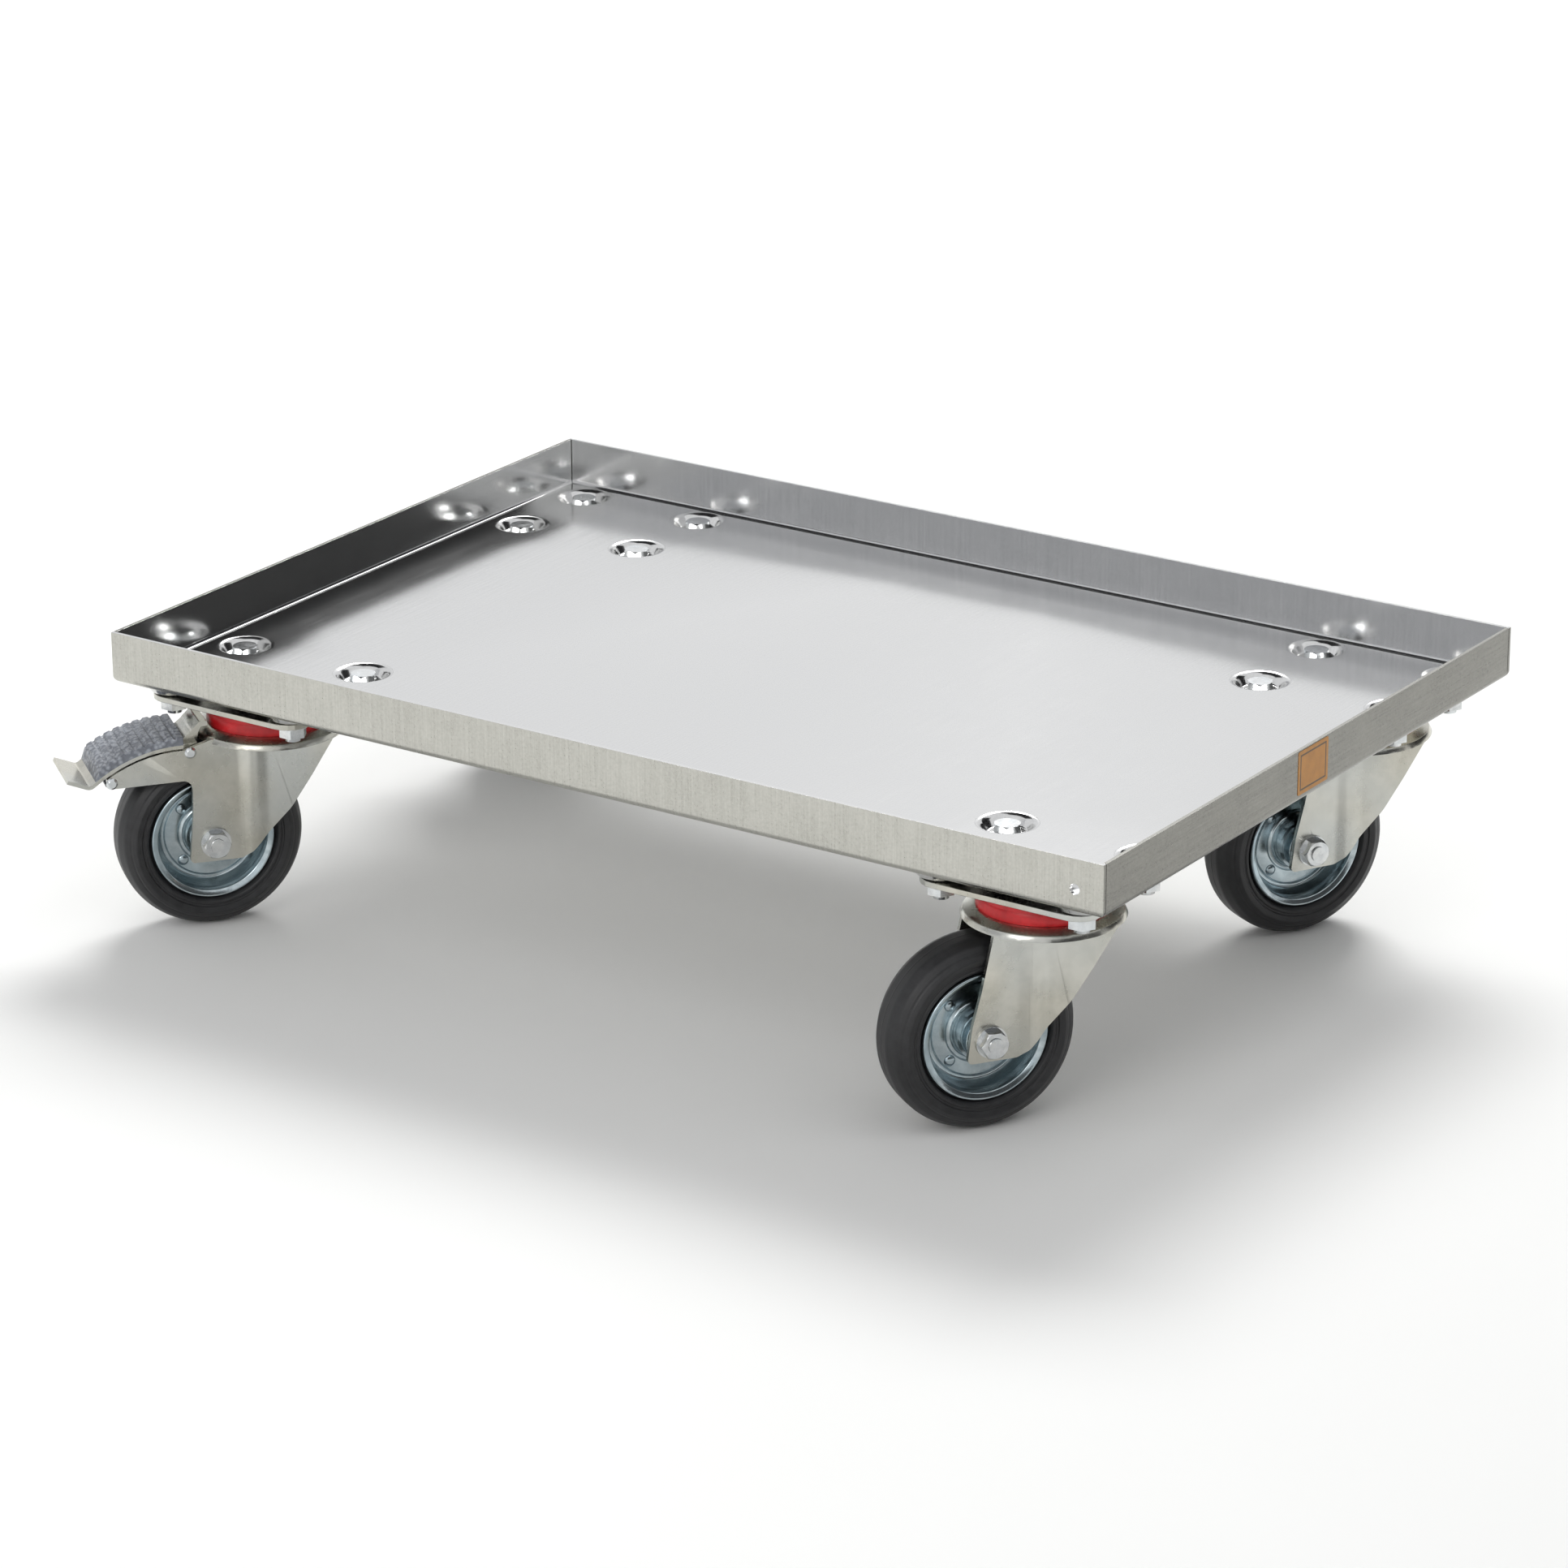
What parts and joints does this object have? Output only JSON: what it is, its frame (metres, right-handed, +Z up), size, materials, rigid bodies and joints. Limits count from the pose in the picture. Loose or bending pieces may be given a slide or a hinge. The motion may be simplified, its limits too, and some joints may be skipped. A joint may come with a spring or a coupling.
{
  "type": "flatbed platform truck",
  "caption": "Low platform truck: a shallow folded sheet-steel tray that carries a crate, bolted to swivel castors with rubber-tyred steel wheels, two with foot brakes.",
  "frame": {"origin": "centre of the deck's top face, where a crate rests", "axes": "+X along the tray's long side, towards the end with the label; +Y across it, away from the wall with the small hole; +Z up, out of the deck"},
  "size_m": [0.6312, 0.4608, 0.1595],
  "materials": {
    "galvanised_sheet": "bright zinc-coated sheet with a fine rolled grain along its length",
    "zinc_plated_steel": "pressed steel, bright zinc plated, satin",
    "rim_steel": "pressed steel, blue-passivated zinc plating, glossy",
    "fastener_steel": "zinc-plated fasteners and rivets, satin",
    "bearing_steel": "polished bearing steel with a film of grease",
    "spring_steel": "oil-blackened spring steel",
    "black_rubber": "solid black rubber, moulded, slightly glossy",
    "red_plastic": "moulded red plastic",
    "grey_plastic": "textured dark grey moulded plastic",
    "orange_label": "plain orange vinyl sticker"
  },
  "bodies": {
    "truck": {"tray_deck": "galvanised_sheet", "tray_walls": "galvanised_sheet", "label": "orange_label", "deck_bolts": "fastener_steel", "front_left_top_plate": "zinc_plated_steel", "front_left_king_rivet": "fastener_steel", "front_right_top_plate": "zinc_plated_steel", "front_right_king_rivet": "fastener_steel", "rear_right_top_plate": "zinc_plated_steel", "rear_right_king_rivet": "fastener_steel", "rear_left_top_plate": "zinc_plated_steel", "rear_left_king_rivet": "fastener_steel"},
    "front_left_swivel": {"front_left_bearing_balls": "bearing_steel", "front_left_dust_ring": "red_plastic", "front_left_fork": "zinc_plated_steel", "front_left_axle_bolt": "fastener_steel", "front_left_axle_nut": "fastener_steel", "front_left_axle_sleeve": "bearing_steel", "front_left_brake_pins": "fastener_steel", "front_left_brake_spring": "spring_steel"},
    "front_left_wheel": {"front_left_hub_tube": "rim_steel", "front_left_hub_bush": "grey_plastic", "front_left_rim": "rim_steel", "front_left_tyre": "black_rubber"},
    "front_left_pedal": {"front_left_brake_lever": "zinc_plated_steel", "front_left_brake_tread": "grey_plastic"},
    "front_right_swivel": {"front_right_bearing_balls": "bearing_steel", "front_right_dust_ring": "red_plastic", "front_right_fork": "zinc_plated_steel", "front_right_axle_bolt": "fastener_steel", "front_right_axle_nut": "fastener_steel", "front_right_axle_sleeve": "bearing_steel"},
    "front_right_wheel": {"front_right_hub_tube": "rim_steel", "front_right_hub_bush": "grey_plastic", "front_right_rim": "rim_steel", "front_right_tyre": "black_rubber"},
    "rear_right_swivel": {"rear_right_bearing_balls": "bearing_steel", "rear_right_dust_ring": "red_plastic", "rear_right_fork": "zinc_plated_steel", "rear_right_axle_bolt": "fastener_steel", "rear_right_axle_nut": "fastener_steel", "rear_right_axle_sleeve": "bearing_steel"},
    "rear_right_wheel": {"rear_right_hub_tube": "rim_steel", "rear_right_hub_bush": "grey_plastic", "rear_right_rim": "rim_steel", "rear_right_tyre": "black_rubber"},
    "rear_left_swivel": {"rear_left_bearing_balls": "bearing_steel", "rear_left_dust_ring": "red_plastic", "rear_left_fork": "zinc_plated_steel", "rear_left_axle_bolt": "fastener_steel", "rear_left_axle_nut": "fastener_steel", "rear_left_axle_sleeve": "bearing_steel", "rear_left_brake_pins": "fastener_steel", "rear_left_brake_spring": "spring_steel"},
    "rear_left_wheel": {"rear_left_hub_tube": "rim_steel", "rear_left_hub_bush": "grey_plastic", "rear_left_rim": "rim_steel", "rear_left_tyre": "black_rubber"},
    "rear_left_pedal": {"rear_left_brake_lever": "zinc_plated_steel", "rear_left_brake_tread": "grey_plastic"}
  },
  "joints": [
    {"name": "front_left_swivel_turn", "type": "hinge", "parent": "truck", "child": "front_left_swivel", "pos_m": [-0.241, -0.1545, -0.0075], "axis": [0, 0, 1], "continuous": true},
    {"name": "front_left_wheel_spin", "type": "hinge", "parent": "front_left_swivel", "child": "front_left_wheel", "pos_m": [-0.26316, -0.18287, -0.0835], "axis": [0.788, -0.6157, 0], "continuous": true},
    {"name": "front_left_pedal_lift", "type": "hinge", "parent": "front_left_swivel", "child": "front_left_pedal", "pos_m": [-0.27024, -0.19193, -0.0318], "axis": [-0.788, 0.6157, 0], "range_deg": [0, 10]},
    {"name": "front_right_swivel_turn", "type": "hinge", "parent": "truck", "child": "front_right_swivel", "pos_m": [0.241, -0.1545, -0.0075], "axis": [0, 0, 1], "continuous": true},
    {"name": "front_right_wheel_spin", "type": "hinge", "parent": "front_right_swivel", "child": "front_right_wheel", "pos_m": [0.22087, -0.18435, -0.0835], "axis": [0.829, -0.5592, 0], "continuous": true},
    {"name": "rear_right_swivel_turn", "type": "hinge", "parent": "truck", "child": "rear_right_swivel", "pos_m": [0.241, 0.1545, -0.0075], "axis": [0, 0, 1], "continuous": true},
    {"name": "rear_right_wheel_spin", "type": "hinge", "parent": "rear_right_swivel", "child": "rear_right_wheel", "pos_m": [0.22355, 0.12301, -0.0835], "axis": [0.8746, -0.4848, 0], "continuous": true},
    {"name": "rear_left_swivel_turn", "type": "hinge", "parent": "truck", "child": "rear_left_swivel", "pos_m": [-0.241, 0.1545, -0.0075], "axis": [0, 0, 1], "continuous": true},
    {"name": "rear_left_wheel_spin", "type": "hinge", "parent": "rear_left_swivel", "child": "rear_left_wheel", "pos_m": [-0.26165, 0.12501, -0.0835], "axis": [0.8192, -0.5736, 0], "continuous": true},
    {"name": "rear_left_pedal_lift", "type": "hinge", "parent": "rear_left_swivel", "child": "rear_left_pedal", "pos_m": [-0.26825, 0.11559, -0.0318], "axis": [-0.8192, 0.5736, 0], "range_deg": [0, 10]}
  ]
}
